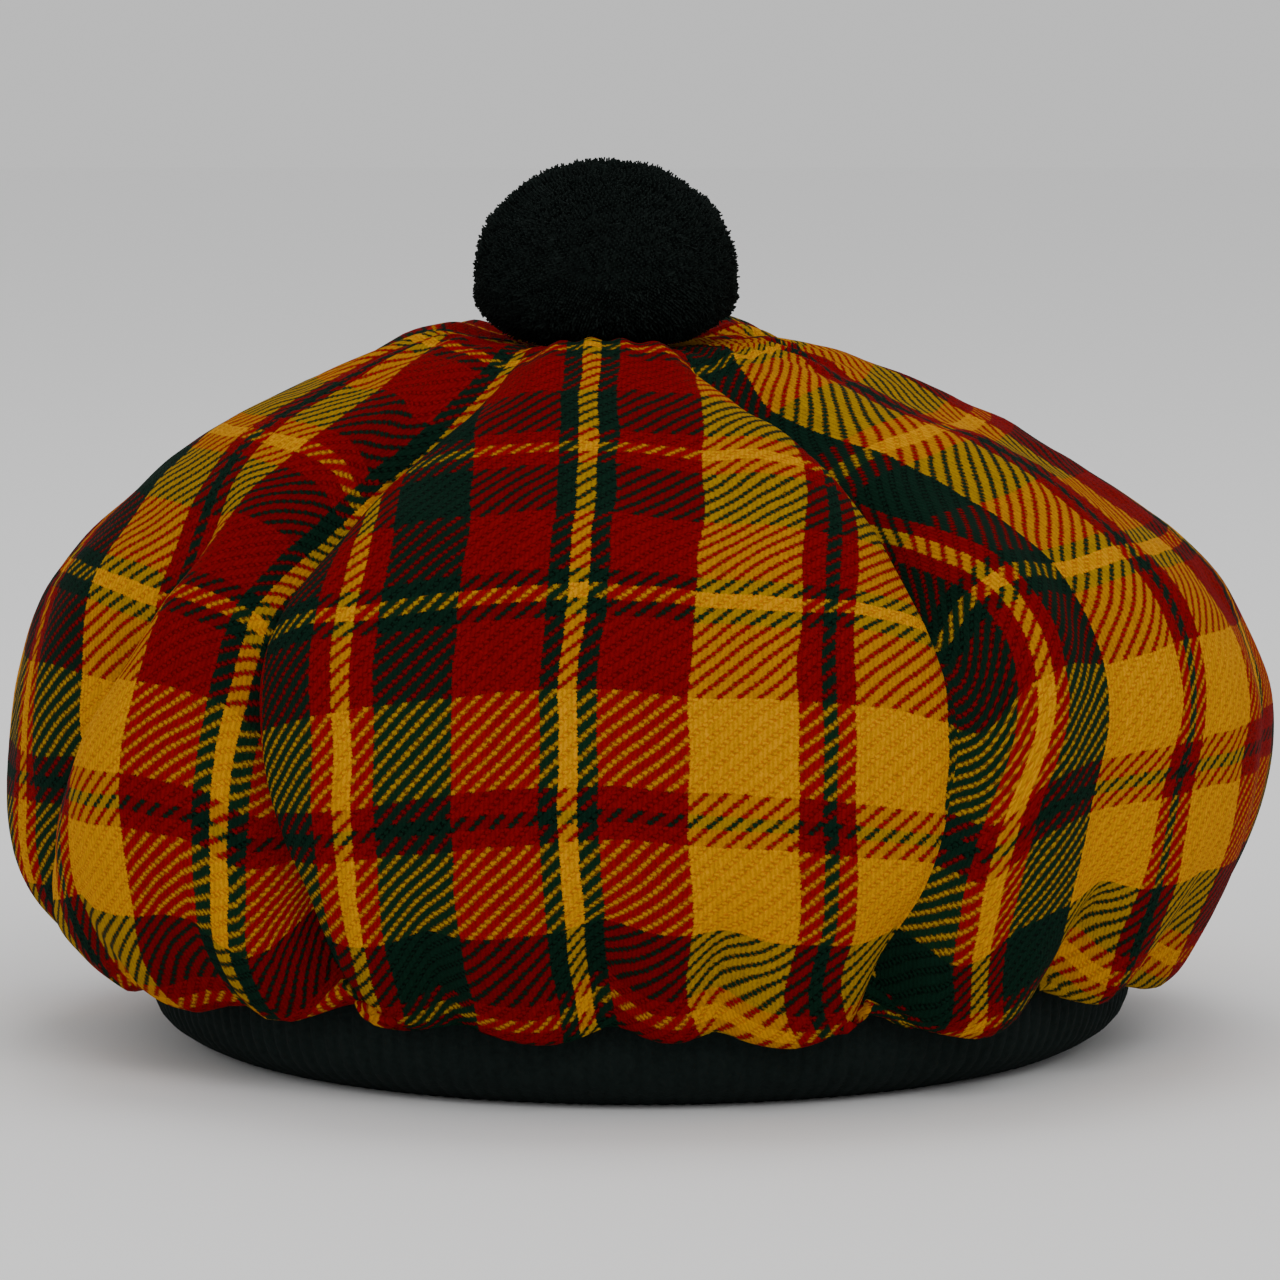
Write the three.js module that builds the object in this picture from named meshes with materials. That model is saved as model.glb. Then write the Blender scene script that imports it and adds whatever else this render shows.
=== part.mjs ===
// A tam o' shanter: a full, gathered crown of tartan woollen cloth, a ribbed knitted headband and a toorie
// (pompom) on top. Millimetres, +Z up. The hat rests on its band at z = 0, and its front faces -Y.
import * as THREE from 'three';
import { mergeVertices } from 'three/addons/utils/BufferGeometryUtils.js';

const CLOTH = 2.0; // brushed twill, wall of the crown
const STEPS_ROUND = 72; // facets round the crown
const STEP_ALONG = 14; // facet length down the crown
const STEP_HEM = 5; // the same where the cloth turns under at the hem
const HEM_TURN = 206; // cloth length from the centre of the top to where that turn starts

// The crown's level sections from the gathered centre of the top to the hem: the height, and how far the cloth
// reaches to each side of the hat's middle. The centre of the top lies 7 mm to the left, so its reach to the
// right is negative.
const SECTIONS = [
  { height: 139.6, right: -7.0, left: 7.0, front: 0.0, back: 0.0 },
  { height: 140.0, right: 4.0, left: 18.0, front: 11.0, back: 11.0 },
  { height: 143.2, right: 17.0, left: 32.0, front: 23.5, back: 24.5 },
  { height: 146.0, right: 27.0, left: 43.0, front: 34.0, back: 36.0 },
  { height: 143.0, right: 37.0, left: 53.0, front: 47.0, back: 50.0 },
  { height: 136.0, right: 51.0, left: 67.0, front: 61.0, back: 65.0 },
  { height: 124.0, right: 78.0, left: 89.0, front: 80.0, back: 84.0 },
  { height: 111.0, right: 100.0, left: 105.0, front: 97.0, back: 100.0 },
  { height: 93.0, right: 119.0, left: 120.5, front: 111.0, back: 114.0 },
  { height: 74.0, right: 129.0, left: 128.0, front: 119.0, back: 122.0 },
  { height: 60.0, right: 130.0, left: 130.0, front: 121.0, back: 124.0 },
  { height: 43.0, right: 127.5, left: 129.5, front: 119.0, back: 122.0 },
  { height: 26.0, right: 121.0, left: 125.0, front: 113.5, back: 116.0 },
  { height: 14.0, right: 111.0, left: 113.0, front: 107.0, back: 108.0 },
  { height: 16.5, right: 104.3, left: 104.5, front: 104.0, back: 104.0 },
  { height: 27.0, right: 103.2, left: 103.2, front: 103.2, back: 103.2 },
];

// The folds that take in the crown's fullness, each a valley from the top to the hem. A bearing is in degrees
// from the front towards the right; the columns give the bearing and the depth at the top, middle and hem.
const FOLDS = [
  { top: -24, middle: -40, hem: -29, deepTop: 5.0, deepMiddle: 7.0, deepHem: 4.0, width: 11 },
  { top: 31, middle: 31, hem: 25, deepTop: 7.0, deepMiddle: 6.5, deepHem: 3.0, width: 12 },
  { top: 72, middle: 80, hem: 84, deepTop: 3.5, deepMiddle: 2.0, deepHem: 3.0, width: 12 },
  { top: 118, middle: 122, hem: 128, deepTop: 6.0, deepMiddle: 5.0, deepHem: 3.5, width: 13 },
  { top: 163, middle: 168, hem: 166, deepTop: 5.0, deepMiddle: 4.0, deepHem: 3.0, width: 12 },
  { top: -148, middle: -146, hem: -150, deepTop: 6.0, deepMiddle: 5.5, deepHem: 3.5, width: 13 },
  { top: -104, middle: -108, hem: -104, deepTop: 4.0, deepMiddle: 4.0, deepHem: 3.0, width: 12 },
  { top: -58, middle: -57, hem: -72, deepTop: 2.5, deepMiddle: 3.5, deepHem: 3.0, width: 10 },
];
const FOLD_STATIONS = { top: 50, middle: 135, hem: 210 }; // cloth lengths of the three columns
const FOLDS_START = { from: 18, to: 45 }; // the folds fade in round the toorie
const FOLDS_END = { from: 214, to: 230 }; // and fade out inside the hem

// The hem is gathered into the band, so the cloth puffs out between these bearings.
const HEM_NOTCHES = [-160, -138, -122, -90, -60, -43, -15, -1, 9, 40, 62, 100, 115, 148, 178];
const NOTCH = { depth: 3.6, width: 6.5, from: 186, to: 212 };

// The band: a ring of thick ribbed knit, folded double, whose lower edge rolls in.
const BAND = { thickness: 4.2, ribs: 54, ribDepth: 0.35 };
const BAND_OUTLINE = [
  { height: 0.0, radius: 89.0 },
  { height: 2.0, radius: 94.3 },
  { height: 6.0, radius: 99.2 },
  { height: 12.0, radius: 101.6 },
  { height: 22.0, radius: 102.3 },
  { height: 32.0, radius: 101.0 },
];

// The toorie: a dense clipped pompom, domed above its widest level and squarer below it, where it is pressed
// into the dimple of the gathers.
const TOORIE = { centre: -7.0, radius: 28.0, dome: 25.0, base: 15.0, above: 0.5, facets: 28 };
const TOORIE_SQUARENESS = 2.5; // 2 is an ellipse

const radians = THREE.MathUtils.degToRad;
const fade = THREE.MathUtils.smoothstep;

// Cloth length from the centre of the top to each section, along the mean outline.
function addClothLengths(sections) {
  const reach = (row) => (row.right + row.left + row.front + row.back) / 4;
  let length = 0;
  sections.forEach((row, i) => {
    const before = sections[Math.max(i - 1, 0)];
    length += Math.hypot(row.height - before.height, reach(row) - reach(before));
    row.length = length;
  });
  return length;
}
const FULL_LENGTH = addClothLengths(SECTIONS);

// One column of the sections at a cloth length, as a smooth curve through the rows.
function column(name, length) {
  const last = SECTIONS.length - 1;
  let i = SECTIONS.findIndex((row) => row.length > length) - 1;
  if (i < 0) i = last - 1;
  const slope = (k) => {
    const before = SECTIONS[Math.max(k - 1, 0)];
    const after = SECTIONS[Math.min(k + 1, last)];
    return (after[name] - before[name]) / (after.length - before.length);
  };
  const start = SECTIONS[i];
  const end = SECTIONS[i + 1];
  const span = end.length - start.length;
  const t = Math.min((length - start.length) / span, 1);
  const rise = t * t * (3 - 2 * t);
  const leave = t * (1 - t) * (1 - t) * span * slope(i);
  const arrive = t * t * (t - 1) * span * slope(i + 1);
  return start[name] + (end[name] - start[name]) * rise + leave + arrive;
}

// The smooth crown, before its folds.
function plainCrown(bearing, length) {
  const [right, left, front, back] = ['right', 'left', 'front', 'back'].map((name) => column(name, length));
  const x = (right - left) / 2 + ((right + left) / 2) * Math.sin(radians(bearing));
  const y = (back - front) / 2 - ((front + back) / 2) * Math.cos(radians(bearing));
  return new THREE.Vector3(x, y, column('height', length));
}

// A value that the three stations of a fold give, on one parabola.
function alongFold(top, middle, hem, length) {
  const t = FOLD_STATIONS;
  const byTop = ((length - t.middle) * (length - t.hem)) / ((t.top - t.middle) * (t.top - t.hem));
  const byMiddle = ((length - t.top) * (length - t.hem)) / ((t.middle - t.top) * (t.middle - t.hem));
  return top * byTop + middle * byMiddle + hem * (1 - byTop - byMiddle);
}

// How far a valley at one bearing reaches into the cloth at another, on a section of the given radius.
function valley(bearing, at, radius, depth, width) {
  const turn = THREE.MathUtils.euclideanModulo(bearing - at + 180, 360) - 180;
  return depth * Math.exp(-(((radians(turn) * radius) / width) ** 2));
}

function foldDepth(bearing, length) {
  const radius = (column('right', length) + column('left', length)) / 2;
  let depth = 0;
  for (const fold of FOLDS) {
    const at = alongFold(fold.top, fold.middle, fold.hem, length);
    const deep = Math.max(alongFold(fold.deepTop, fold.deepMiddle, fold.deepHem, length), 0);
    depth += valley(bearing, at, radius, deep, fold.width);
  }
  depth *= fade(length, FOLDS_START.from, FOLDS_START.to);
  const gathers = NOTCH.depth * fade(length, NOTCH.from, NOTCH.to);
  for (const at of HEM_NOTCHES) depth += valley(bearing, at, radius, gathers, NOTCH.width);
  return depth * (1 - fade(length, FOLDS_END.from, FOLDS_END.to));
}

// The outward normal of the smooth crown, from two short steps on it.
function crownNormal(bearing, length, point, step) {
  const down = point(bearing, Math.min(length + step, FULL_LENGTH)).sub(point(bearing, length - step));
  const round = point(bearing + step, length).sub(point(bearing - step, length));
  return down.cross(round).normalize();
}

function outerCloth(bearing, length) {
  const normal = crownNormal(bearing, length, plainCrown, 0.5);
  return plainCrown(bearing, length).addScaledVector(normal, -foldDepth(bearing, length));
}

function innerCloth(bearing, length) {
  const normal = crownNormal(bearing, length, outerCloth, 0.5);
  return outerCloth(bearing, length).addScaledVector(normal, -CLOTH);
}

// A closed skin over rings of points, each ring the same number of points, all the way round: the first and the
// last ring close on each other, or on a pole where they are a single point.
function skin(rings) {
  const corners = [];
  const quad = (a, b, c, d) => corners.push(a, b, c, a, c, d);
  for (let i = 0; i < rings.length - 1; i += 1) {
    const upper = rings[i];
    const lower = rings[i + 1];
    const count = Math.max(upper.length, lower.length);
    for (let k = 0; k < count; k += 1) {
      const next = (k + 1) % count;
      if (upper.length === 1) corners.push(upper[0], lower[k], lower[next]);
      else if (lower.length === 1) corners.push(upper[k], lower[0], upper[next]);
      else quad(upper[k], lower[k], lower[next], upper[next]);
    }
  }
  const geometry = new THREE.BufferGeometry().setFromPoints(corners);
  return mergeVertices(geometry);
}

function ringOf(count, pointAt) {
  return Array.from({ length: count }, (_, k) => pointAt((360 * k) / count));
}

function crownStations() {
  const stations = [];
  for (let length = STEP_ALONG; length < HEM_TURN; length += STEP_ALONG) stations.push(length);
  for (let length = HEM_TURN; length < FULL_LENGTH; length += STEP_HEM) stations.push(length);
  stations.push(FULL_LENGTH);
  return stations;
}

// The crown is one wall: down the outside to the hem, and back up the inside.
function crownGeometry() {
  const pole = plainCrown(0, 0);
  const innerPole = pole.clone();
  innerPole.z -= CLOTH;
  const outer = crownStations().map((length) => ringOf(STEPS_ROUND, (bearing) => outerCloth(bearing, length)));
  const inner = crownStations().map((length) => ringOf(STEPS_ROUND, (bearing) => innerCloth(bearing, length)));
  return skin([[pole], ...outer, ...inner.reverse(), [innerPole]]);
}

// The band's outer side, its flat lower edge, its inner side and its top edge, closed into a ring.
function bandGeometry() {
  const steps = BAND.ribs * 2;
  const ring = (radius, height) =>
    ringOf(steps, (bearing) => {
      const turn = radians(bearing);
      return new THREE.Vector3(radius * Math.sin(turn), -radius * Math.cos(turn), height);
    });
  const ribbed = (radius, height) =>
    ring(radius, height).map((point, k) => {
      const size = 1 - ((k % 2) * BAND.ribDepth) / radius;
      return point.multiply(new THREE.Vector3(size, size, 1));
    });
  const outside = BAND_OUTLINE.map((row) => ribbed(row.radius, row.height)).reverse();
  const inside = BAND_OUTLINE.map((row) => ring(row.radius - BAND.thickness, row.height));
  return skin([...outside, ...inside, outside[0]]);
}

// The toorie is turned about its axis: an elliptic dome on a squarer base, which share their widest level.
function toorieGeometry() {
  const outline = [];
  const steps = TOORIE.facets / 4;
  for (let k = 0; k <= steps; k += 1) {
    const turn = (Math.PI / 2) * (k / steps);
    const across = k === 0 ? 0 : Math.sin(turn) ** (2 / TOORIE_SQUARENESS);
    const down = k === steps ? 0 : Math.cos(turn) ** (2 / TOORIE_SQUARENESS);
    outline.push(new THREE.Vector2(TOORIE.radius * across, -TOORIE.base * down));
  }
  for (let k = 1; k <= steps; k += 1) {
    const turn = (Math.PI / 2) * (k / steps);
    const across = k === steps ? 0 : Math.cos(turn);
    outline.push(new THREE.Vector2(TOORIE.radius * across, TOORIE.dome * Math.sin(turn)));
  }
  const geometry = new THREE.LatheGeometry(outline, TOORIE.facets);
  geometry.deleteAttribute('normal');
  geometry.deleteAttribute('uv');
  return mergeVertices(geometry.rotateX(Math.PI / 2), 1e-3);
}

function wool(colour) {
  return new THREE.MeshStandardMaterial({ color: colour, roughness: 0.95, metalness: 0 });
}

function piece(name, geometry, material) {
  geometry.computeVertexNormals();
  const mesh = new THREE.Mesh(geometry, material);
  mesh.name = name;
  return mesh;
}

const crown = piece('crown', crownGeometry(), wool(0x8c1a10));
const headband = piece('headband', bandGeometry(), wool(0x0a1412));
const toorie = piece('toorie', toorieGeometry(), wool(0x080f0f));
toorie.position.set(TOORIE.centre, 0, SECTIONS[0].height + TOORIE.above + TOORIE.base);

// The hat's own frame has its origin at the middle of its box, on the surface it rests on.
const hat = new THREE.Group();
hat.add(crown, headband, toorie);
const middle = new THREE.Box3().setFromObject(hat).getCenter(new THREE.Vector3());
hat.position.set(-middle.x, -middle.y, 0);

export default hat;
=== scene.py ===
import math

import bpy
import numpy as np
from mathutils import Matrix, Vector, noise


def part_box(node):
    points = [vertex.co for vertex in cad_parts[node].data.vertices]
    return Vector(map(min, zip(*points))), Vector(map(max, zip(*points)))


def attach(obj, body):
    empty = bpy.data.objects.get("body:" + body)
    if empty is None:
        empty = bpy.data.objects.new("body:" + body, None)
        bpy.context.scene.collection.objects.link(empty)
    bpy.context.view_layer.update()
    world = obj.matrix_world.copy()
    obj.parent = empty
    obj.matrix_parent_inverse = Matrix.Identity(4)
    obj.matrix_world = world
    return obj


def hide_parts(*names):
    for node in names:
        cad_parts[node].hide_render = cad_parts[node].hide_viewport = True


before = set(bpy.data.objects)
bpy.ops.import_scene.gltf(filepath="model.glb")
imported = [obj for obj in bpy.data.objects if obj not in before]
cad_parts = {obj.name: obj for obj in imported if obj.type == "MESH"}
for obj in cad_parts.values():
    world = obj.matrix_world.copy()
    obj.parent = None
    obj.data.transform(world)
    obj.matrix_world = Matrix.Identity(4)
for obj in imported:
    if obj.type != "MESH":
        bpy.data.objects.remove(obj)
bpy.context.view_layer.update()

# --------------------------------------------------------------------------------------------------
# Crown. A tube of brushed 2/2 twill in a red, yellow and green tartan, gathered to the middle of
# the top and again at the hem, where it puffs out over the band that it is sewn to. Deep folds take
# in the fullness, and the stripes run under them. Lengths here are millimetres, and bearings are
# degrees from the front to the right.

# Level sections from the gathered centre to the hem: height, and the reach to the right, left,
# front and back.
SECTIONS = np.array([
    (139.6, -7.0, 7.0, 0.0, 0.0),
    (140.0, 4.0, 18.0, 11.0, 11.0),
    (143.2, 17.0, 32.0, 23.5, 24.5),
    (146.0, 27.0, 43.0, 34.0, 36.0),
    (143.0, 37.0, 53.0, 47.0, 50.0),
    (136.0, 51.0, 67.0, 61.0, 65.0),
    (124.0, 78.0, 89.0, 80.0, 84.0),
    (111.0, 100.0, 105.0, 97.0, 100.0),
    (93.0, 119.0, 120.5, 111.0, 114.0),
    (74.0, 129.0, 128.0, 119.0, 122.0),
    (60.0, 130.0, 130.0, 121.0, 124.0),
    (43.0, 127.5, 129.5, 119.0, 122.0),
    (26.0, 121.0, 125.0, 113.5, 116.0),
    (14.0, 111.0, 113.0, 107.0, 108.0),
    (16.5, 104.3, 104.5, 104.0, 104.0),
    (27.0, 103.2, 103.2, 103.2, 103.2),
])
reach = SECTIONS[:, 1:].mean(axis=1)
section_lengths = np.concatenate([[0.0], np.cumsum(np.hypot(np.diff(SECTIONS[:, 0]), np.diff(reach)))])
full_length = section_lengths[-1]


def smooth_through(stations, rows, at):
    """Values between the rows of a table, on one smooth curve through them."""
    stations = np.asarray(stations, float)
    rows = np.asarray(rows, float)
    slopes = np.gradient(rows, axis=0) / np.gradient(stations).reshape([-1] + [1] * (rows.ndim - 1))
    at = np.clip(at, stations[0], stations[-1])
    i = np.clip(np.searchsorted(stations, at, side="right") - 1, 0, len(stations) - 2)
    span = stations[i + 1] - stations[i]
    t = (at - stations[i]) / span
    if rows.ndim > 1:
        t, span = t[..., None], span[..., None]
    rise = t * t * (3 - 2 * t)
    leave = t * (1 - t) ** 2 * span * slopes[i]
    arrive = t * t * (t - 1) * span * slopes[i + 1]
    return rows[i] + (rows[i + 1] - rows[i]) * rise + leave + arrive


def plain_crown(bearing, length):
    """The crown before its folds."""
    height, right, left, front, back = np.moveaxis(smooth_through(section_lengths, SECTIONS, length), -1, 0)
    turn = np.radians(bearing)
    x = (right - left) / 2 + (right + left) / 2 * np.sin(turn)
    y = (back - front) / 2 - (front + back) / 2 * np.cos(turn)
    return np.stack([x, y, height], axis=-1)


# The folds, one row for each. STATIONS are cloth lengths from the centre of the top, and line and
# depth are the fold's bearing and depth at each. The cloth to the right of the fold lies over it
# (+1), or that to its left (-1). roll and ramp are the widths of the valley's side that is rolled
# over it and of its other side. stripe is a thread of the panel to the fold's right, and runs is
# the bearing that it keeps at each station.
STATIONS = (45, 70, 95, 120, 145, 170, 195, 215)
FOLDS = [
    dict(name="back_left", over=1, roll=9, ramp=14,
         line=(-148, -147, -146, -146, -146, -147, -149, -150), depth=(6, 7, 8, 8, 7, 6, 5, 4),
         stripe=-304, runs=(-125, -125, -125, -125, -125, -125, -125, -125)),
    dict(name="left_back", over=-1, roll=8, ramp=13,
         line=(-103, -104, -105, -107, -108, -107, -105, -104), depth=(5, 5, 6, 6, 5, 4, 4, 3),
         stripe=-128, runs=(-94, -85, -77, -71, -67, -67, -70, -73)),
    dict(name="far_left", over=1, roll=7, ramp=16,
         line=(-62, -60, -57, -55, -59, -65, -72, -77), depth=(0, 0, 1, 6, 11, 12, 9, 5),
         stripe=-48, runs=(-26, -30.5, -37.8, -42, -42, -41, -40, -41)),
    dict(name="left_front", over=1, roll=8, ramp=15,
         line=(-25, -29, -34.5, -38, -38.5, -35.5, -31, -29), depth=(5, 10, 14, 16, 15, 12, 10, 7),
         stripe=48, runs=(-1.5, -2.2, -3.6, -5.2, -6.2, -5.9, -4.8, -4.4)),
    dict(name="right_front", over=-1, roll=6, ramp=17,
         line=(29.5, 32.5, 32, 30.2, 29.4, 27.6, 25.4, 24), depth=(6, 12, 16, 14, 5, 4, 5, 5),
         stripe=152, runs=(14, 26, 34, 38, 37.5, 33, 32, 35)),
    dict(name="right_back", over=1, roll=9, ramp=14,
         line=(117, 118, 119, 121, 122, 124, 126, 128), depth=(6, 7, 7, 7, 6, 5, 4, 3.5),
         stripe=404, runs=(136, 138, 140, 141, 141, 141, 141, 142)),
    dict(name="back", over=-1, roll=8, ramp=13,
         line=(162, 164, 166, 168, 168, 168, 167, 166), depth=(5, 6, 6, 6, 5, 4.5, 4, 3),
         stripe=508, runs=(190, 190, 190, 190, 190, 190, 190, 190)),
]
# Softer swells and hollows, which leave the stripes as they are: a depth below zero stands out.
SWELLS = [
    dict(name="right_ridge", width=11,
         line=(24, 33, 37, 40, 38, 34, 33, 36), depth=(0, -1, -3, -4, -4.5, -4, -3, -2)),
    dict(name="right_hollow", width=10,
         line=(50, 50, 50, 50, 48, 46, 47, 48), depth=(0, 0, 1, 1.5, 3, 3, 2.5, 2)),
    dict(name="right_side", width=15,
         line=(72, 74, 76, 78, 80, 82, 83, 84), depth=(3.5, 3, 2, 1, 1.5, 2, 3, 3)),
    dict(name="left_ridge", width=10,
         line=(-40, -44, -46, -50, -52, -54, -55, -56), depth=(0, -1, -1.5, -2, -2, -1.5, -1, 0)),
    dict(name="front_hollow", width=16,
         line=(8, 8, 9, 10, 10, 10, 10, 10), depth=(0, 0, 0.5, 1, 1.2, 1, 0, 0)),
]
OVERHANG = 0.35  # how far a rolled edge leans over its valley, as a share of the fold's depth
# Where the stitches draw the hem up between its puffs: the bearing, and how far up.
HEM_NOTCHES = [
    (-160, 4), (-138, 5), (-122, 4), (-90, 5), (-60, 4), (-45, 4), (-31, 7.5), (-18, 4), (-2.5, 6), (8, 4.5),
    (24, 5), (47, 7), (62, 3), (100, 5), (115, 4), (148, 5), (178, 4),
]
NOTCH_INWARD = 2.2
NOTCH_WIDTH = 7.0
PLEATS = 31
PLEAT_DEPTH = 0.9
CREASE_DEPTH = 2.2
WRINKLE_DEPTH = 0.7


def fade(length, start, end):
    t = np.clip((length - start) / (end - start), 0, 1)
    return t * t * (3 - 2 * t)


def around(bearing, at, radius):
    """Distance along the cloth from one bearing to another."""
    return np.radians((bearing - at + 180) % 360 - 180) * radius


def folded_crown(bearing, length):
    """The crown with its folds, hem puffs, top gathers and creases."""
    radius = np.maximum(smooth_through(section_lengths, reach, length), 4)
    depth = np.zeros_like(bearing)
    lean = np.zeros_like(bearing)
    for fold in FOLDS:
        distance = around(bearing, smooth_through(STATIONS, fold["line"], length), radius)
        on_roll = distance * fold["over"] > 0
        width = np.where(on_roll, fold["roll"], fold["ramp"])
        share = np.exp(-(np.abs(distance) / width) ** 1.5)
        fold_depth = np.maximum(smooth_through(STATIONS, fold["depth"], length), 0)
        depth += share * fold_depth
        lean -= np.where(on_roll, 4 * share * (1 - share), 0) * fold["over"] * OVERHANG * fold_depth
    for swell in SWELLS:
        distance = around(bearing, smooth_through(STATIONS, swell["line"], length), radius)
        depth += np.exp(-(distance / swell["width"]) ** 2) * smooth_through(STATIONS, swell["depth"], length)
    depth *= fade(length, 18, 45)
    gathers = PLEAT_DEPTH * fade(length, 14, 24) * (1 - fade(length, 40, 75))
    turn = np.radians(bearing)
    depth += gathers * (0.5 + 0.5 * np.sin(turn * PLEATS + 1.5 * np.sin(turn * 5)))
    drawn_up = np.zeros_like(bearing)
    for notch, rise in HEM_NOTCHES:
        share = np.exp(-(np.abs(around(bearing, notch, radius)) / NOTCH_WIDTH) ** 1.6)
        depth += NOTCH_INWARD * fade(length, 184, 214) * share
        drawn_up += rise * fade(length, 178, 206) * (1 - fade(length, 210, full_length)) * share
    open_cloth = 1 - fade(length, 216, 231)
    depth *= open_cloth
    lean *= open_cloth * fade(length, 18, 45)
    step = 0.5
    down = plain_crown(bearing, np.minimum(length + step, full_length)) - plain_crown(bearing, length - step)
    round_about = plain_crown(bearing + step, length) - plain_crown(bearing - step, length)
    normal = np.cross(down, round_about)
    normal /= np.linalg.norm(normal, axis=-1, keepdims=True)
    leaned = plain_crown(bearing + np.degrees(lean / radius), length)
    points = leaned - normal * depth[..., None]
    points[..., 2] += drawn_up
    flat = points.reshape(-1, 3)
    creases = np.array([
        noise.noise(Vector(p) / 34) * CREASE_DEPTH
        + noise.noise(Vector((p[0] / 9, p[1] / 9, p[2] / 26 + 7))) * WRINKLE_DEPTH
        for p in flat
    ])
    creases = creases.reshape(depth.shape) * open_cloth * fade(length, 10, 50)
    return points + normal * creases[..., None]


# Columns of the cloth follow the folds, close together beside them.
COLUMN = 2.05
CROWDING = 0.55
MIDDLE_RADIUS = 122
order = sorted(FOLDS, key=lambda fold: fold["line"][4])
FINE_FROM = 190.0  # rows are closer from here to the hem
lengths = np.concatenate([
    [1.5, 4.0], np.arange(7.0, FINE_FROM, 2.1), np.arange(FINE_FROM, full_length, 1.35), [full_length],
])
bearings = []
panel_of_column = []
for i, fold in enumerate(order):
    after = order[(i + 1) % len(order)]
    start = smooth_through(STATIONS, fold["line"], lengths)
    end = smooth_through(STATIONS, after["line"], lengths) + (360 if i == len(order) - 1 else 0)
    count = int(round(math.radians((end - start)[len(lengths) // 2]) * MIDDLE_RADIUS / COLUMN))
    share = np.arange(count) / count
    share = share - CROWDING * np.sin(2 * math.pi * share) / (2 * math.pi)
    bearings.append(start[:, None] + (end - start)[:, None] * share)
    panel_of_column += [i] * count
bearings = np.concatenate(bearings, axis=1)
panel_of_column = np.array(panel_of_column)
rows, columns = bearings.shape
points = folded_crown(bearings, np.repeat(lengths[:, None], columns, axis=1))

# The thread that crosses each column, counted along the folded cloth from its panel's own stripe.
WARP_PITCH = 0.944
WEFT_PITCH = 0.86
FIRST_WEFT = 82.0  # cloth length at the middle of the uppermost yellow row with red edges
closed = np.concatenate([points, points[:, :1]], axis=1)
steps = np.linalg.norm(np.diff(closed, axis=1), axis=2)
run = np.concatenate([np.zeros((rows, 1)), np.cumsum(steps, axis=1)], axis=1)
wide = np.concatenate([bearings, bearings[:, :1] + 360], axis=1)
warps = []
for fold in order:
    stripe = smooth_through(STATIONS, fold["runs"], lengths)
    stripe = wide[:, 0] + (stripe - wide[:, 0]) % 360
    at_stripe = np.array([np.interp(stripe[k], wide[k], run[k]) for k in range(rows)])
    warps.append(fold["stripe"] + (run - at_stripe[:, None]) / WARP_PITCH)

# How far the cloth's level rows sag below where they cross the front, by bearing.
SAG_AT = (-150, -110, -86, -60, -43, -38, -30, -18, -5, 7, 19, 28, 31, 36, 46, 80, 120, 160, 210)
SAG = (2, 4, 6, 4, 5, 11, 8, 3, 0, 1.5, 4, 8, 10, 2, -1, -2, 3, 0, 2)
sag = smooth_through(SAG_AT, SAG, SAG_AT[0] + (wide - SAG_AT[0]) % 360) * fade(lengths, 20, 110)[:, None]
wefts = (lengths[:, None] - FIRST_WEFT - sag) / WEFT_PITCH

faces = []
threads = []
for k in range(rows - 1):
    for c in range(columns):
        nxt = (c + 1) % columns
        warp = warps[panel_of_column[c]]
        faces.append((k * columns + c, (k + 1) * columns + c, (k + 1) * columns + nxt, k * columns + nxt))
        for kk, cc in ((k, c), (k + 1, c), (k + 1, c + 1), (k, c + 1)):
            threads.append((warp[kk, cc], wefts[kk, cc]))
pole = rows * columns
for c in range(columns):
    faces.append((pole, c, (c + 1) % columns))
    warp = warps[panel_of_column[c]]
    threads += [(warp[0, c], wefts[0, c] - 2), (warp[0, c], wefts[0, c]), (warp[0, c + 1], wefts[0, c + 1])]
centre = points[0].mean(axis=0)

low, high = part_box("crown")
node_middle = (np.array(low) + np.array(high)) / 2
shift = np.array([node_middle[0], node_middle[1], 0]) - np.array([0.0, 0.0015, 0.0])
vertices = np.concatenate([points.reshape(-1, 3), centre[None]]) / 1000 + shift

mesh = bpy.data.meshes.new("crown_cloth")
mesh.from_pydata([tuple(v) for v in vertices], [], faces)
layer = mesh.uv_layers.new(name="threads")
layer.data.foreach_set("uv", np.array(threads, np.float32).ravel())
mesh.update()
crown = bpy.data.objects.new("crown_cloth", mesh)
bpy.context.scene.collection.objects.link(crown)


def apply_modifier(piece, kind, name, **settings):
    bpy.ops.object.select_all(action="DESELECT")
    piece.select_set(True)
    bpy.context.view_layer.objects.active = piece
    modifier = piece.modifiers.new(name, kind)
    for key, value in settings.items():
        setattr(modifier, key, value)
    bpy.ops.object.modifier_apply(modifier=name)


CLOTH = 0.0018
apply_modifier(crown, "SOLIDIFY", "cloth_wall", thickness=CLOTH, offset=-1, use_rim=True)
crown.data.shade_smooth()


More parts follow.
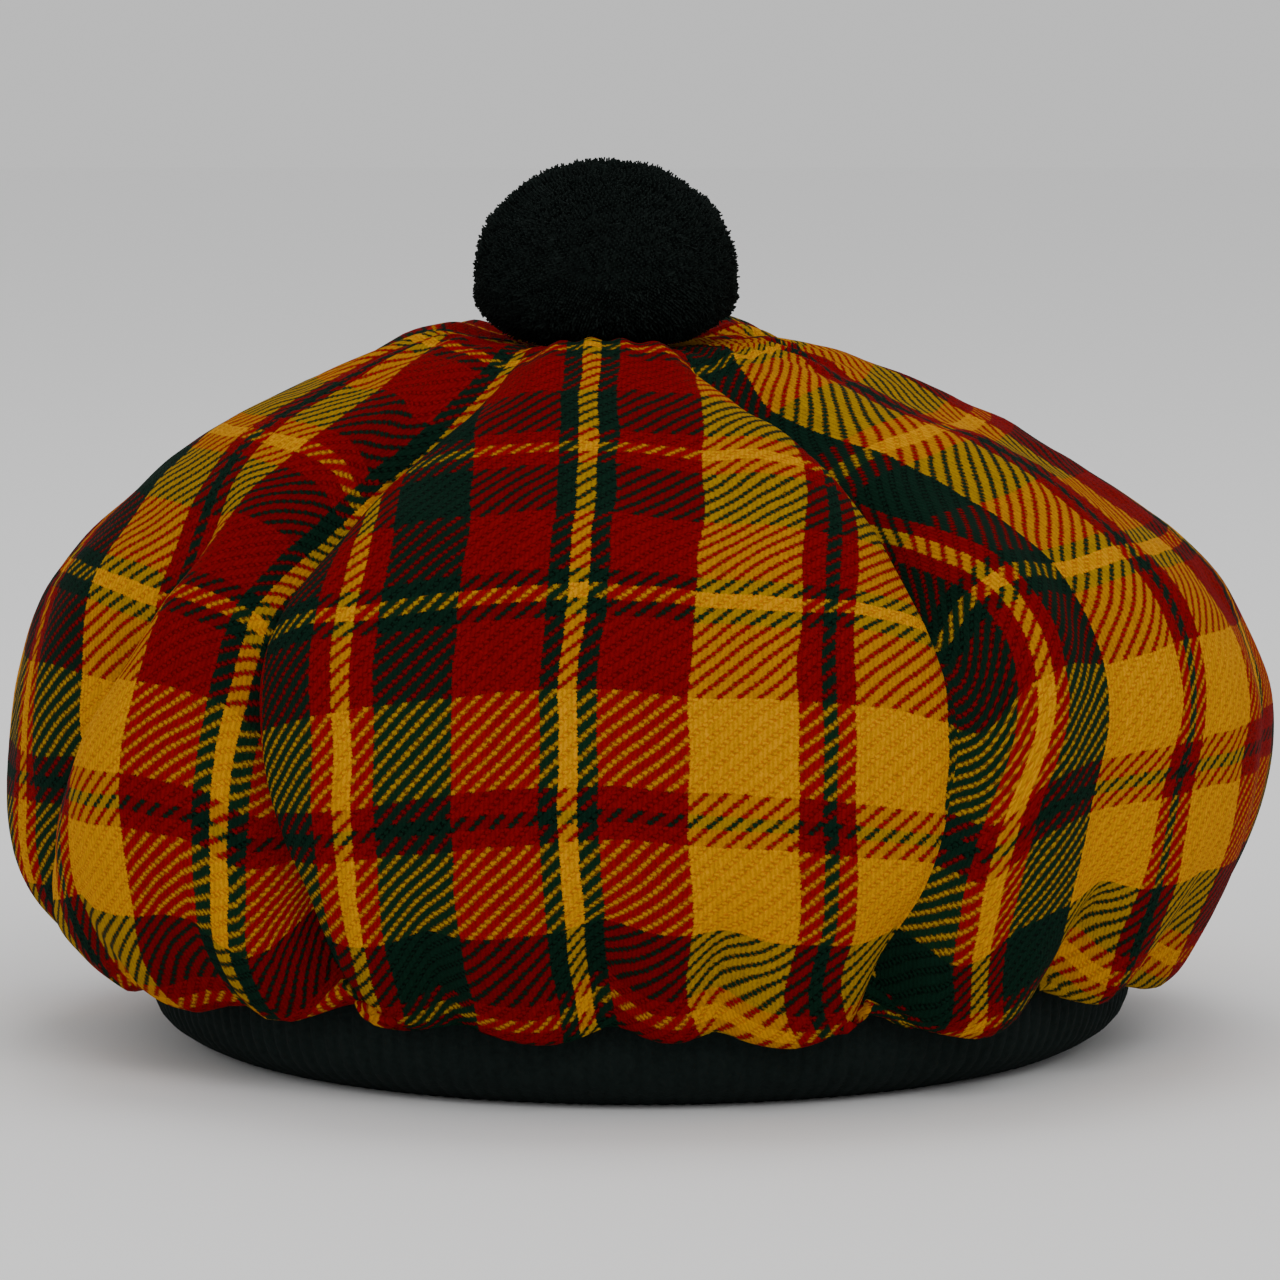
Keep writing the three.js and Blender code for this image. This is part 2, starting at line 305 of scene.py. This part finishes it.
class Shade:
    """A shader socket. Arithmetic on it adds Math nodes, and add makes any other node."""

    def __init__(self, tree, socket=None):
        self.tree = tree
        self.socket = socket

    def add(self, kind, settings, inputs, output=0):
        node = self.tree.nodes.new(kind)
        for name, value in settings.items():
            if name == "stops":
                stops = node.color_ramp.elements
                stops.remove(stops[0])
                stops[0].position = value[0][0]
                stops[0].color = value[0][1]
                for place, colour in value[1:]:
                    stops.new(place).color = colour
            elif name == "interpolation":
                node.color_ramp.interpolation = value
            else:
                setattr(node, name, value)
        for name, value in inputs.items():
            if isinstance(value, Shade):
                self.tree.links.new(value.socket, node.inputs[name])
            else:
                node.inputs[name].default_value = value
        return Shade(self.tree, node.outputs[output])

    def maths(self, operation, *values):
        return self.add("ShaderNodeMath", {"operation": operation}, dict(enumerate(values)))

    def __add__(self, other):
        return self.maths("ADD", self, other)

    def __radd__(self, other):
        return self.maths("ADD", other, self)

    def __sub__(self, other):
        return self.maths("SUBTRACT", self, other)

    def __rsub__(self, other):
        return self.maths("SUBTRACT", other, self)

    def __mul__(self, other):
        return self.maths("MULTIPLY", self, other)

    def __rmul__(self, other):
        return self.maths("MULTIPLY", other, self)

    def __truediv__(self, other):
        return self.maths("DIVIDE", self, other)

    def __mod__(self, other):
        return self.maths("FLOORED_MODULO", self, other)

    def floor(self):
        return self.maths("FLOOR", self)

    def arch(self):
        """A round rise and fall between each whole number and the next."""
        return self.maths("ABSOLUTE", self.maths("SINE", self * math.pi))

    def blend(self, first, second):
        """The first colour where this is 0, and the second where it is 1."""
        return self.add("ShaderNodeMix", {"data_type": "RGBA"}, {0: self, 6: first, 7: second}, 2)

    def tint(self, colour, amount=1.0):
        """This colour, multiplied by another as far as amount says."""
        settings = {"data_type": "RGBA", "blend_type": "MULTIPLY"}
        return self.add("ShaderNodeMix", settings, {0: amount, 6: self, 7: colour}, 2)

    def split(self, kind):
        """The parts of a colour or a vector."""
        node = self.add(kind, {}, {0: self}).socket.node
        return [Shade(self.tree, socket) for socket in node.outputs]


def new_material(name, slot_colour):
    """A material, and the node of its shader."""
    material = bpy.data.materials.new(name)
    material.use_nodes = True
    material.diffuse_color = (*slot_colour, 1)
    shader = material.node_tree.nodes["Principled BSDF"]
    return material, shader


# The sett, as cloth mills chart it: threads from one pivot to the next, the same in warp and weft.
RED = (0.30, 0.0, 0.001, 1)
YELLOW = (0.66, 0.35, 0.0, 1)
GREEN = (0.004, 0.03, 0.016, 1)
SETT = [
    (YELLOW, 2), (RED, 4), (GREEN, 18), (RED, 18), (GREEN, 4), (YELLOW, 4), (GREEN, 4), (RED, 18),
    (YELLOW, 22), (RED, 4), (GREEN, 4), (RED, 4), (YELLOW, 22), (GREEN, 18), (RED, 4), (YELLOW, 2),
]
HALF_SETT = sum(count for _, count in SETT)
stops = []
thread = 0
for colour, count in SETT:
    stops.append((thread / HALF_SETT, colour))
    thread += count

tartan, shader = new_material("tartan_twill", RED[:3])
start = Shade(tartan.node_tree)
uv = start.add("ShaderNodeUVMap", {"uv_map": "threads"}, {})
# The threads wander slowly, and their fibres blur each edge by about a thread.
WANDER = 2.0
BLUR = 1.1
flat_noise = {"noise_dimensions": "2D"}
drift = start.add("ShaderNodeTexNoise", flat_noise, {"Vector": uv, "Scale": 0.045, "Detail": 1.0}, 1)
fibres = start.add("ShaderNodeTexNoise", flat_noise, {"Vector": uv, "Scale": 1.7, "Detail": 3.0}, 1)
u, v, _ = uv.split("ShaderNodeSeparateXYZ")
drift_u, drift_v, _ = drift.split("ShaderNodeSeparateColor")
blur_u, blur_v, _ = fibres.split("ShaderNodeSeparateColor")
u = u + (drift_u - 0.5) * WANDER + (blur_u - 0.5) * BLUR
v = v + (drift_v - 0.5) * WANDER + (blur_v - 0.5) * BLUR
warp_thread = u.floor()
weft_thread = v.floor()


def dyed(thread):
    """The colour of a thread of the sett, which runs to each pivot and back."""
    place = thread.maths("PINGPONG", thread + 0.5, HALF_SETT) / HALF_SETT
    return place.add("ShaderNodeValToRGB", {"interpolation": "CONSTANT", "stops": stops}, {0: place})


def spun(thread, seed):
    """How much lighter or darker one thread is than the next."""
    return thread.add("ShaderNodeTexWhiteNoise", {"noise_dimensions": "1D"}, {"W": thread * 1.37 + seed}, 0)


EDGE = 0.4
WEFT_SHOWS = 0.68  # half the width of a weft float, of the 2 threads that an even twill would give it
step_across = (u + warp_thread + 0.5) / 2 + (v + weft_thread + 0.5) / 2
from_weft_float = start.maths("ABSOLUTE", step_across % 4 - 2)
warp_over = start.add("ShaderNodeMapRange", {"interpolation_type": "SMOOTHSTEP"},
                      {0: from_weft_float, 1: WEFT_SHOWS - EDGE, 2: WEFT_SHOWS + EDGE})
height = warp_over * (u.arch() * 0.5 + 0.5) + (1 - warp_over) * (v.arch() * 0.75 + 0.25)
warp_colour = dyed(warp_thread)
weft_colour = dyed(weft_thread)
under = warp_over.blend(warp_colour, weft_colour)
crossing = warp_over * (1 - warp_over) * 4
cloth = warp_over.blend(weft_colour, warp_colour).tint(under, amount=crossing * 0.45 + 0.52)
nap = start.add("ShaderNodeTexNoise", flat_noise, {"Vector": uv, "Scale": 0.8, "Detail": 5.0})
light_and_dark = warp_over * spun(warp_thread, 0.0) + (1 - warp_over) * spun(weft_thread, 31.0)
shadow = 0.55 + height * 0.48 + (light_and_dark - 0.5) * 0.12 + (nap - 0.5) * 0.45
shadow = start.add("ShaderNodeCombineColor", {}, {0: shadow, 1: shadow, 2: shadow})
cloth = cloth.tint(shadow)
bump = start.add("ShaderNodeBump", {}, {"Strength": 0.55, "Distance": 0.0004, "Height": height + nap * 0.8})
start.tree.links.new(cloth.socket, shader.inputs["Base Color"])
start.tree.links.new(bump.socket, shader.inputs["Normal"])
shader.inputs["Roughness"].default_value = 0.9
shader.inputs["Specular IOR Level"].default_value = 0.04
crown.data.materials.append(tartan)

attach(crown, "root")
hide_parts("crown")

# --------------------------------------------------------------------------------------------------
# Headband. A ring of thick wool knitted in a fine rib and folded double, near-black bottle green.
# Its lower edge rolls in, and its upper edge is sewn inside the crown's hem. The ribs are drawn out
# of the ring one by one.

RIBS = 180
RIB_STEPS = 6
RIB_DEPTH = 0.0006
BAND_WALL = 0.0042
BAND_OUTLINE = [
    (0.0, 89.0), (0.6, 91.3), (2.0, 94.3), (4.0, 97.4), (6.0, 99.2), (9.0, 100.5), (12.0, 101.1), (17.0, 101.2),
    (22.0, 101.1), (27.0, 101.0), (32.0, 100.8),
]
band_low, band_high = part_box("headband")
band_middle = (np.array(band_low) + np.array(band_high)) / 2
steps_round = RIBS * RIB_STEPS
turn = np.arange(steps_round) / steps_round * 2 * math.pi
rib = 0.5 - 0.5 * np.cos(turn * RIBS)
outline = [(height, radius / 1000, 1.0) for height, radius in reversed(BAND_OUTLINE)]
outline += [(height, radius / 1000 - BAND_WALL, -1.0) for height, radius in BAND_OUTLINE]
rings = []
for height, radius, side in outline:
    rounded = radius - side * RIB_DEPTH * (1 - rib) ** 2
    level = np.full_like(turn, height / 1000)
    rings.append(np.stack([rounded * np.sin(turn), -rounded * np.cos(turn), level], axis=-1))
band_points = np.concatenate(rings) + np.array([band_middle[0], band_middle[1], 0])
band_faces = []
for k in range(len(rings)):
    for c in range(steps_round):
        nxt = (c + 1) % steps_round
        upper = k * steps_round
        lower = (k + 1) % len(rings) * steps_round
        band_faces.append((upper + c, lower + c, lower + nxt, upper + nxt))
mesh = bpy.data.meshes.new("knit_band")
mesh.from_pydata([tuple(p) for p in band_points], [], band_faces)
mesh.update()
band = bpy.data.objects.new("knit_band", mesh)
bpy.context.scene.collection.objects.link(band)
band.data.shade_smooth()

knit, shader = new_material("ribbed_knit", (0.008, 0.014, 0.013))
start = Shade(knit.node_tree)
here = start.add("ShaderNodeTexCoord", {}, {}, 3)
fluff = start.add("ShaderNodeTexNoise", {}, {"Vector": here, "Scale": 900.0, "Detail": 4.0})
patch = start.add("ShaderNodeTexNoise", {}, {"Vector": here, "Scale": 160.0, "Detail": 3.0})
wool = (fluff * 0.7 + patch * 0.3).blend((0.0015, 0.003, 0.0028, 1), (0.011, 0.018, 0.016, 1))
bump = start.add("ShaderNodeBump", {}, {"Strength": 0.7, "Distance": 0.0006, "Height": fluff})
start.tree.links.new(wool.socket, shader.inputs["Base Color"])
start.tree.links.new(bump.socket, shader.inputs["Normal"])
shader.inputs["Roughness"].default_value = 0.95
shader.inputs["Specular IOR Level"].default_value = 0.1
band.data.materials.append(knit)

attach(band, "root")
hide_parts("headband")

# --------------------------------------------------------------------------------------------------
# Toorie. A pompom of dark wool yarn, tied at its middle and clipped: a dense ball of short ends,
# domed above and pressed flat below where it sits on the gathers.

STRANDS = 14000
STRAND_LENGTH = 0.005
STRAND_WIDTH = 0.0007
DOME = 0.025
BASE = 0.015
low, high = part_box("toorie")
ball_middle = Vector(((low[0] + high[0]) / 2, (low[1] + high[1]) / 2, low[2] + BASE))
ball_half = ((high[0] - low[0]) / 2, (high[1] - low[1]) / 2)
bpy.ops.object.select_all(action="DESELECT")
bpy.ops.mesh.primitive_ico_sphere_add(subdivisions=5, radius=1)
ball = bpy.context.active_object
ball.name = "pompom_core"


def toorie_surface(way, inset):
    """A point of the pompom's outer form, in a direction from its middle."""
    x, y, z = way
    power = 2.1 if z > 0 else 2.7
    reach_out = ((x * x + y * y) ** (power / 2) + abs(z) ** power) ** (1 / power)
    lumps = 1 - 0.05 * (0.5 + 0.5 * noise.noise(Vector(way) * 3.4)) - 0.02 * noise.noise(Vector(way) * 11)
    scale = Vector((ball_half[0] - inset, ball_half[1] - inset, (DOME if z > 0 else BASE) - inset))
    return Vector((x, y, z)) / reach_out * lumps * scale + ball_middle


for vertex in ball.data.vertices:
    vertex.co = toorie_surface(vertex.co.normalized(), STRAND_LENGTH * 0.4)
ball.data.shade_smooth()

# The clipped ends: three-sided strands on an even spiral over the ball, each leaning a little its
# own way.
random = np.random.default_rng(11)
GOLDEN_TURN = math.pi * (3 - math.sqrt(5))
strand_points = []
strand_faces = []
for k in range(STRANDS):
    z = 1 - (2 * k + 1) / STRANDS
    turn = k * GOLDEN_TURN
    way = Vector((math.cos(turn) * math.sqrt(1 - z * z), math.sin(turn) * math.sqrt(1 - z * z), z))
    tip = toorie_surface(way, STRAND_LENGTH * random.uniform(0.0, 0.22))
    outward = (way + Vector(random.normal(0, 0.22, 3))).normalized()
    side = outward.orthogonal().normalized()
    other = outward.cross(side)
    for place, width in ((tip - outward * STRAND_LENGTH, STRAND_WIDTH), (tip, STRAND_WIDTH * 0.55)):
        for corner in (0, 1, 2):
            angle = turn + corner * 2 * math.pi / 3
            strand_points.append(place + (side * math.cos(angle) + other * math.sin(angle)) * width / 2)
    first = k * 6
    strand_faces += [(first + 3, first + 4, first + 5), (first + 2, first + 1, first)]
    strand_faces += [(first + c, first + (c + 1) % 3, first + (c + 1) % 3 + 3, first + c + 3) for c in (0, 1, 2)]
mesh = bpy.data.meshes.new("pompom_strands")
mesh.from_pydata([tuple(p) for p in strand_points], [], strand_faces)
mesh.update()
strands = bpy.data.objects.new("pompom_strands", mesh)
bpy.context.scene.collection.objects.link(strands)

pile, shader = new_material("pompom_pile", (0.006, 0.011, 0.011))
start = Shade(pile.node_tree)
here = start.add("ShaderNodeTexCoord", {}, {}, 3)
tuft = start.add("ShaderNodeTexNoise", {}, {"Vector": here, "Scale": 420.0, "Detail": 3.0})
wool = tuft.blend((0.0015, 0.0028, 0.0025, 1), (0.016, 0.024, 0.021, 1))
start.tree.links.new(wool.socket, shader.inputs["Base Color"])
shader.inputs["Roughness"].default_value = 0.95
shader.inputs["Specular IOR Level"].default_value = 0.1
for piece in (ball, strands):
    piece.data.materials.append(pile)
    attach(piece, "root")
    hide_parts("toorie")

# --------------------------------------------------------------------------------------------------
# Studio. A plain pale floor, soft light from above and in front, and a long lens a little above the
# brim.

bpy.ops.object.select_all(action="DESELECT")
bpy.ops.mesh.primitive_plane_add(size=8, location=(0, 0, 0))
floor = bpy.context.active_object
floor.name = "floor"
paper, shader = new_material("pale_floor", (0.8, 0.8, 0.8))
shader.inputs["Base Color"].default_value = (0.95, 0.95, 0.95, 1)
shader.inputs["Roughness"].default_value = 0.8
floor.data.materials.append(paper)

world = bpy.data.worlds.new("studio")
world.use_nodes = True
world.node_tree.nodes["Background"].inputs["Color"].default_value = (1, 1, 1, 1)
world.node_tree.nodes["Background"].inputs["Strength"].default_value = 0.72
bpy.context.scene.world = world


def soft_light(name, place, size, power):
    bpy.ops.object.light_add(type="AREA", location=place)
    light = bpy.context.active_object
    light.name = name
    light.data.size = size
    light.data.energy = power
    light.rotation_euler = (Vector((0, 0, 0.08)) - Vector(place)).to_track_quat("-Z", "Y").to_euler()


soft_light("key", (0.5, -1.6, 1.6), 1.2, 13)
soft_light("fill", (-1.3, -1.2, 0.9), 1.2, 3)
soft_light("top", (0.1, 0.5, 1.9), 1.0, 8)

LENS_DISTANCE = 1.4
LENS_RISE = math.radians(6.5)
AIM = Vector((0, 0, 0.0804))
FRAME_WIDTH = 0.2633
bpy.ops.object.camera_add()
camera = bpy.context.active_object
camera.location = AIM + Vector((0, -math.cos(LENS_RISE), math.sin(LENS_RISE))) * LENS_DISTANCE
camera.rotation_euler = (AIM - camera.location).to_track_quat("-Z", "Y").to_euler()
camera.data.sensor_width = 36
camera.data.lens = 36 * LENS_DISTANCE / FRAME_WIDTH
bpy.context.scene.camera = camera
